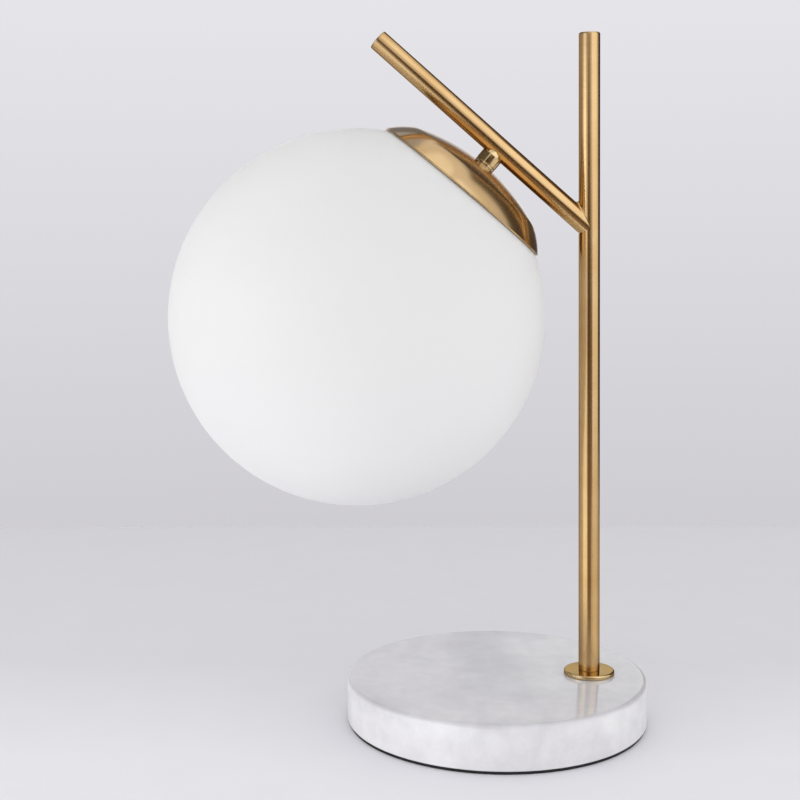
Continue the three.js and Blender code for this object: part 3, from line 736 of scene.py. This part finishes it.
def canopy_line():
    """The canopy's outer line from its hole to its rim, in the head's frame."""
    _, end, rim, hole = span("canopy")
    dome = GLOBE_RADIUS + CANOPY_DOME_GAP
    first = math.degrees(math.asin(hole / dome)) - 90
    last = math.degrees(math.asin((CANOPY_SHOULDER - CANOPY_SHOULDER_ROUND) / dome)) - 90
    line = arc((0, 0), dome, first, last, DOME_STEPS)
    shoulder = (CANOPY_SHOULDER, -math.sqrt(dome**2 - CANOPY_SHOULDER**2))
    foot = (rim - CANOPY_WALL / 2, end - CANOPY_WALL)
    skirt = bowed(shoulder, foot, CANOPY_SKIRT_BOW, SKIRT_STEPS)
    towards_rim = (Vector(skirt[0]) - Vector(shoulder)).normalized()
    line.append(tuple(Vector(shoulder) + towards_rim * CANOPY_SHOULDER_ROUND))
    return line + skirt


def make_canopy():
    shell = turned("canopy_shell", thickened(canopy_line(), CANOPY_WALL), HEAD, ROUND_FACETS)
    dress(shell, "stand", spun_brass, "brass", "canopy")
    _, end, rim, _ = span("canopy")
    bead = arc((rim - CANOPY_LIP * 2, end - CANOPY_LIP), CANOPY_LIP, 0, 360, LIP_STEPS)
    lip = turned("canopy_lip", bead[:-1], HEAD, ROUND_FACETS)
    dress(lip, "stand", spun_brass, "brass")


# Globe


def neck_radius(edge):
    """The inner radius of the globe's ground edge, which is at this level of the head's frame."""
    back = HEAD.inverted()
    local = [back @ v for v in vertices_of("globe_glass")]
    return min(math.hypot(v.x, v.y) for v in local if v.z < edge + GLOBE_EDGE_DEPTH)


def make_globe():
    edge = span("globe_glass")[0]
    neck = neck_radius(edge)
    inside = GLOBE_RADIUS - GLOBE_WALL
    first = math.degrees(math.asin(edge / GLOBE_RADIUS))
    last = -math.degrees(math.acos(neck / inside))
    profile = [
        *arc((0, 0), GLOBE_RADIUS, first, 90, GLOBE_STEPS)[:-1],
        (0, GLOBE_RADIUS),
        (0, inside),
        *arc((0, 0), inside, 90, last, GLOBE_INSIDE_STEPS)[1:],
        (neck, edge),
    ]
    globe = turned("opal_globe", profile, HEAD, ROUND_FACETS)
    dress(globe, "globe", opal, "opal_glass", "globe_glass")


# Nodes that keep their CAD shape


def dress_nodes():
    looks = {
        steel: [
            "stem_thread", "clamp_washer", "base_lock_washer", "base_nut", "head_thread",
            "canopy_washer", "canopy_nut", "plate_nut", "fitter_plate", "globe_clip_1",
            "globe_clip_2", "globe_clip_3",
        ],
        plain_brass: ["lampholder_sleeve", "lampholder_contact"],
        rubber: ["cable_gland"],
        silicone: ["neck_gasket"],
        black_plastic: [
            "lampholder_cap", "lampholder_skirt", "lampholder_insert", "bulb_insulator",
        ],
        ivory_plastic: ["terminal_block"],
        white_plastic: ["bulb_housing", "bulb_diffuser"],
        bright_metal: ["bulb_contact", "bulb_cap"],
        brown_lead: ["lead_live"],
        blue_lead: ["lead_neutral"],
    }
    for look, nodes in looks.items():
        for node in nodes:
            part = frame["nodes"][node]
            if not part.material_slots:
                part.data.materials.append(look)
            for slot in part.material_slots:
                slot.link = "OBJECT"
                slot.material = look


# Floor

FLOOR_HALF = Vector((0.8, 0.488, 1))
FLOOR_MARGIN = 1.03
FLOOR_FADE = 0.06
FLOOR_THICKNESS = 1 * MM
FLOOR_PAINTED_LIT = (0.77, 0.764, 0.802)
FLOOR_PAINTED_DIM = (0.675, 0.67, 0.702)
FLOOR_PAINTED_EDGE_SHADE = (0.648, 0.642, 0.674)
FLOOR_MOTTLE = (0.985, 0.985, 0.985)

# Painted light on the floor, from its front edge to its far edge: palest in front of the lamp,
# darker towards both edges
FLOOR_PAINTED_LIGHT = [
    (0, FLOOR_PAINTED_EDGE_SHADE), (0.3, FLOOR_PAINTED_LIT), (0.44, FLOOR_PAINTED_LIT), (0.6, FLOOR_PAINTED_DIM), (1, FLOOR_PAINTED_EDGE_SHADE),
]


def floor_material():
    """A matt floor with painted light, palest in front of the lamp and darker towards its front and
    far edges, that fades out at its rounded edge.
    """
    material, tree, shader = new_material("pale_floor")
    place = object_place(tree)
    # Painted light: the floor's tone runs from front to back, palest just in front of the lamp
    painted_light_sweep = mapped(tree, axes_of(tree, place)["Y"], -FLOOR_HALF.y, FLOOR_HALF.y)
    mottle = noise(tree, place, scale=30, detail=5)
    skin = ramp(tree, mottle, [(0.3, FLOOR_MOTTLE), (0.7, WHITE)])
    share = vector_math(tree, "DIVIDE", place, FLOOR_HALF)
    square = vector_math(tree, "MULTIPLY", share, share)
    reach = vector_math(tree, "LENGTH", square)
    feed(tree, shader, {
        "Base Color": layered(tree, ramp(tree, painted_light_sweep, FLOOR_PAINTED_LIGHT), [skin]),
        "Roughness": 1,
        "Specular IOR Level": 0,
        "Alpha": faded(tree, reach, FLOOR_FADE),
    })
    return material


def make_floor():
    """A floor whose far edge fades into the backdrop in an almost straight line."""
    across, along = FLOOR_HALF.x * FLOOR_MARGIN, FLOOR_HALF.y * FLOOR_MARGIN
    corners = [(-across, -along), (across, -along), (across, along), (-across, along)]
    verts = [(x, y, level) for level in (-FLOOR_THICKNESS, 0) for x, y in corners]
    faces = [(3, 2, 1, 0), (4, 5, 6, 7)]
    for corner in range(4):
        after = (corner + 1) % 4
        faces.append((corner, after, after + 4, corner + 4))
    floor = new_piece("floor", verts, faces, Matrix())
    floor.data.materials.append(floor_material())


# Backdrop

WALL_LOW = (0.615, 0.605, 0.642)
WALL_HIGH = (0.8, 0.79, 0.83)
CEILING = (1, 0.99, 0.98)
WALL_LOW_SINE = -0.22
WALL_HIGH_SINE = 0.18
CEILING_SINE = 0.7
WALL_TOP_SHARE = (WALL_HIGH_SINE - WALL_LOW_SINE) / (CEILING_SINE - WALL_LOW_SINE)
AMBIENT = 0.96


def make_world():
    """A wall and ceiling that the camera and mirrors see, and an even light on all the rest."""
    world = bpy.data.worlds.new("studio")
    bpy.context.scene.world = world
    world.use_nodes = True
    tree = world.node_tree
    tree.nodes.clear()
    place = tree.nodes.new("ShaderNodeTexCoord").outputs["Generated"]
    rise = mapped(tree, axes_of(tree, place)["Z"], WALL_LOW_SINE, CEILING_SINE)
    wall = ramp(tree, rise, [(0, WALL_LOW), (WALL_TOP_SHARE, WALL_HIGH), (1, CEILING)])
    seen = new_node(tree, "ShaderNodeBackground", {"Color": wall})
    light = new_node(tree, "ShaderNodeBackground", {"Color": (*WHITE, 1), "Strength": AMBIENT})
    ray = tree.nodes.new("ShaderNodeLightPath").outputs
    either = number_math(tree, "MAXIMUM", ray["Is Camera Ray"], ray["Is Glossy Ray"])
    any_of_three = number_math(tree, "MAXIMUM", either, ray["Is Transmission Ray"])
    shades = {"Fac": any_of_three, 1: light.outputs[0], 2: seen.outputs[0]}
    mix = new_node(tree, "ShaderNodeMixShader", shades)
    new_node(tree, "ShaderNodeOutputWorld", {"Surface": mix.outputs[0]})


# Lamps that light the object. Their brightness is that of their own face.

LAMP_AIM = Vector((-0.03, 0, 0.19))
FILL_DISTANCE = 1.3
TABLE_BOUNCE_SIZE = 1.2
STAGE_RISE = 1 * MM


def level_way(bearing):
    """The level direction at a bearing in degrees. 0 is in front of the lamp, 90 to its right."""
    turn = math.radians(bearing)
    return Vector((math.sin(turn), -math.cos(turn), 0))


def from_lamp(bearing, rise, distance):
    """A place round the lamp, with its bearing and rise in degrees."""
    lift = math.radians(rise)
    way = level_way(bearing) * math.cos(lift) + Vector((0, 0, math.sin(lift)))
    return LAMP_AIM + way * distance


def aimed(place):
    """A frame at the place whose -Z looks at the lamp."""
    back = (place - LAMP_AIM).normalized()
    return Matrix.Translation(place) @ back.to_track_quat("Z", "Y").to_matrix().to_4x4()


def area_lamp(name, place, width, height, brightness):
    """A soft lamp that lights the object and that no mirror shows."""
    data = bpy.data.lights.new(name, "AREA")
    data.shape = "RECTANGLE"
    data.size = width
    data.size_y = height
    data.energy = brightness * math.pi * width * height
    lamp = bpy.data.objects.new(name, data)
    lamp.matrix_world = place
    lamp.visible_camera = False
    lamp.visible_glossy = False
    bpy.context.collection.objects.link(lamp)


def fill(name, bearing, rise, width, height, brightness):
    place = aimed(from_lamp(bearing, rise, FILL_DISTANCE))
    area_lamp(name, place, width, height, brightness)


def table_bounce(brightness):
    """The light that a pale table throws back up under the lamp."""
    facing_up = Matrix.Rotation(math.pi, 4, "X")
    place = Matrix.Translation((0, 0, STAGE_RISE)) @ facing_up
    area_lamp("table_bounce", place, TABLE_BOUNCE_SIZE, TABLE_BOUNCE_SIZE, brightness)


def make_lamps():
    fill("left_fill", bearing=-58, rise=-6, width=0.9, height=1.2, brightness=1.26)
    fill("right_fill", bearing=82, rise=2, width=0.9, height=0.9, brightness=0.95)
    fill("front_fill", bearing=-10, rise=-7, width=1.2, height=0.5, brightness=1.68)
    table_bounce(brightness=0.21)


# Cards that show only where metal and gloss mirror them

CARD_STEPS = 16


def card_shade(name, colour, fades):
    """An even glow that fades out towards the card's four edges."""
    material, tree, _ = new_material(name)
    tree.nodes.clear()
    axes = axes_of(tree, remembered(tree, CARD_PLACE))
    soft_edges = []
    for axis, soft in zip("XY", fades):
        soft_edges.append(faded(tree, number_math(tree, "ABSOLUTE", axes[axis]), soft))
    clear = tree.nodes.new("ShaderNodeBsdfTransparent")
    glow = new_node(tree, "ShaderNodeEmission", {"Color": (*colour, 1)})
    share = number_math(tree, "MULTIPLY", *soft_edges)
    shades = {"Fac": share, 1: clear.outputs[0], 2: glow.outputs[0]}
    mix = new_node(tree, "ShaderNodeMixShader", shades)
    new_node(tree, "ShaderNodeOutputMaterial", {"Surface": mix.outputs[0]})
    material.cycles.emission_sampling = "NONE"
    return material


def hang_card(name, place_at, colour, fades):
    """A studio card, as a grid of places."""
    verts = []
    shares = []
    for row in range(CARD_STEPS + 1):
        for column in range(CARD_STEPS + 1):
            across, up = column / CARD_STEPS, row / CARD_STEPS
            verts.append(place_at(across, up))
            shares.append((2 * across - 1, 2 * up - 1, 0))
    faces = []
    for row in range(CARD_STEPS):
        for column in range(CARD_STEPS):
            first = row * (CARD_STEPS + 1) + column
            second = first + CARD_STEPS + 1
            faces.append((first, first + 1, second + 1, second))
    piece = new_piece(name, verts, faces, Matrix())
    remember(piece.data, CARD_PLACE, shares)
    piece.data.materials.append(card_shade(name, colour, fades))
    piece.visible_camera = False
    piece.visible_diffuse = False
    piece.visible_transmission = False
    piece.visible_shadow = False


def between(limits, share):
    return limits[0] + (limits[1] - limits[0]) * share


def card(name, bearings, rises, distance, colour, fades):
    """A curved card that stands round the lamp."""
    def place_at(across, up):
        return from_lamp(between(bearings, across), between(rises, up), distance)

    hang_card(name, place_at, colour, fades)


def floor_card(name, bearings, distances, colour, fades):
    """A card that lies on the floor and fans out from the upright."""
    def place_at(across, up):
        flat = level_way(between(bearings, across)) * between(distances, up)
        return UPRIGHT_AXIS + flat + Vector((0, 0, STAGE_RISE))

    hang_card(name, place_at, colour, fades)


def hang_softboxes():
    """The bright cards at the right, at the left and above."""
    card(
        "right_softbox", bearings=(14, 84), rises=(4, 62), distance=1.5,
        colour=(1.5, 1.58, 1.7), fades=(0.25, 0.2),
    )
    card(
        "right_low_softbox", bearings=(26, 98), rises=(-20, 14), distance=1.55,
        colour=(1.15, 1.2, 1.3), fades=(0.2, 0.25),
    )
    card(
        "left_softbox", bearings=(-90, -27), rises=(-32, 24), distance=1.5,
        colour=(1.3, 1.38, 1.47), fades=(0.35, 0.2),
    )
    card(
        "left_lamp", bearings=(-70, -38), rises=(0, 23), distance=1.48,
        colour=(2.3, 2.5, 2.8), fades=(0.5, 0.5),
    )
    card(
        "ceiling_softbox", bearings=(40, 150), rises=(62, 90), distance=1.6,
        colour=(1.35, 1.4, 1.45), fades=(0.4, 0.1),
    )


def hang_front_flags():
    """The dark cards in front of the lamp, which give the tubes their dark stripes."""
    card(
        "front_flag", bearings=(-24, 12), rises=(-45, 14), distance=1.4,
        colour=(0.06, 0.035, 0.02), fades=(0.2, 0.3),
    )
    card(
        "front_upper_flag", bearings=(-20, 3), rises=(4, 21), distance=1.41,
        colour=(0.06, 0.035, 0.02), fades=(0.3, 0.25),
    )
    card(
        "front_low_flag", bearings=(4, 32), rises=(-45, 9), distance=1.42,
        colour=(0.15, 0.1, 0.07), fades=(0.35, 0.2),
    )


def hang_rear_cards():
    """The cards at the right and the back, dark and dull but for one low softbox."""
    card(
        "right_flag", bearings=(101, 163), rises=(-32, 54), distance=1.4,
        colour=(0.09, 0.07, 0.055), fades=(0.1, 0.1),
    )
    card(
        "rear_flag", bearings=(150, 192), rises=(22, 44), distance=1.4,
        colour=(0.22, 0.22, 0.23), fades=(0.25, 0.15),
    )
    card(
        "rear_softbox", bearings=(160, 179), rises=(4, 16), distance=1.5,
        colour=(1.08, 1.1, 1.12), fades=(0.3, 0.2),
    )
    card(
        "back_flag", bearings=(164, 222), rises=(26, 76), distance=1.45,
        colour=(0.5, 0.54, 0.64), fades=(0.2, 0.2),
    )


def hang_left_flags():
    """The dull cards at the left."""
    card(
        "left_flag", bearings=(-160, -84), rises=(-50, 21), distance=1.45,
        colour=(0.46, 0.43, 0.42), fades=(0.15, 0.15),
    )
    card(
        "upper_left_flag", bearings=(-165, -16), rises=(20, 60), distance=1.4,
        colour=(0.13, 0.11, 0.1), fades=(0.15, 0.15),
    )


def lay_floor_cards():
    floor_card(
        "front_floor_flag", bearings=(-24, 14), distances=(0.07, 1.1),
        colour=(0.27, 0.2, 0.13), fades=(0.2, 0.1),
    )
    floor_card(
        "left_floor_card", bearings=(-80, -26), distances=(0.14, 0.6),
        colour=(1.55, 1.57, 1.55), fades=(0.3, 0.1),
    )
    floor_card(
        "right_floor_card", bearings=(30, 92), distances=(0.05, 0.6),
        colour=(0.95, 0.95, 0.9), fades=(0.3, 0.1),
    )


# Camera


def make_camera():
    level = Vector((math.cos(CAMERA_YAW), -math.sin(CAMERA_YAW), 0))
    ahead = Vector((math.sin(CAMERA_YAW), math.cos(CAMERA_YAW), 0))
    forward = ahead * math.cos(CAMERA_PITCH) - Vector((0, 0, math.sin(CAMERA_PITCH)))
    below = forward.cross(level)
    right = level * math.cos(CAMERA_ROLL) + below * math.sin(CAMERA_ROLL)
    down = below * math.cos(CAMERA_ROLL) - level * math.sin(CAMERA_ROLL)
    data = bpy.data.cameras.new("camera")
    data.sensor_width = SENSOR
    data.lens = FOCAL_PIXELS / PICTURE_SIZE * SENSOR
    data.shift_x = 0.5 - CENTRE_PIXEL.x / PICTURE_SIZE
    data.shift_y = CENTRE_PIXEL.y / PICTURE_SIZE - 0.5
    data.clip_start = NEAREST_SEEN
    camera = bpy.data.objects.new("camera", data)
    turn = Matrix((right, -down, -forward)).transposed()
    camera.matrix_world = Matrix.Translation(CAMERA_PLACE) @ turn.to_4x4()
    bpy.context.collection.objects.link(camera)
    bpy.context.scene.camera = camera


make_camera()
make_marble()
make_pad()
make_flange()
make_tubes()
make_boss()
make_canopy()
make_globe()
dress_nodes()
make_floor()
make_world()
make_lamps()
hang_softboxes()
hang_front_flags()
hang_rear_cards()
hang_left_flags()
lay_floor_cards()

bpy.context.scene.view_settings.view_transform = "Standard"
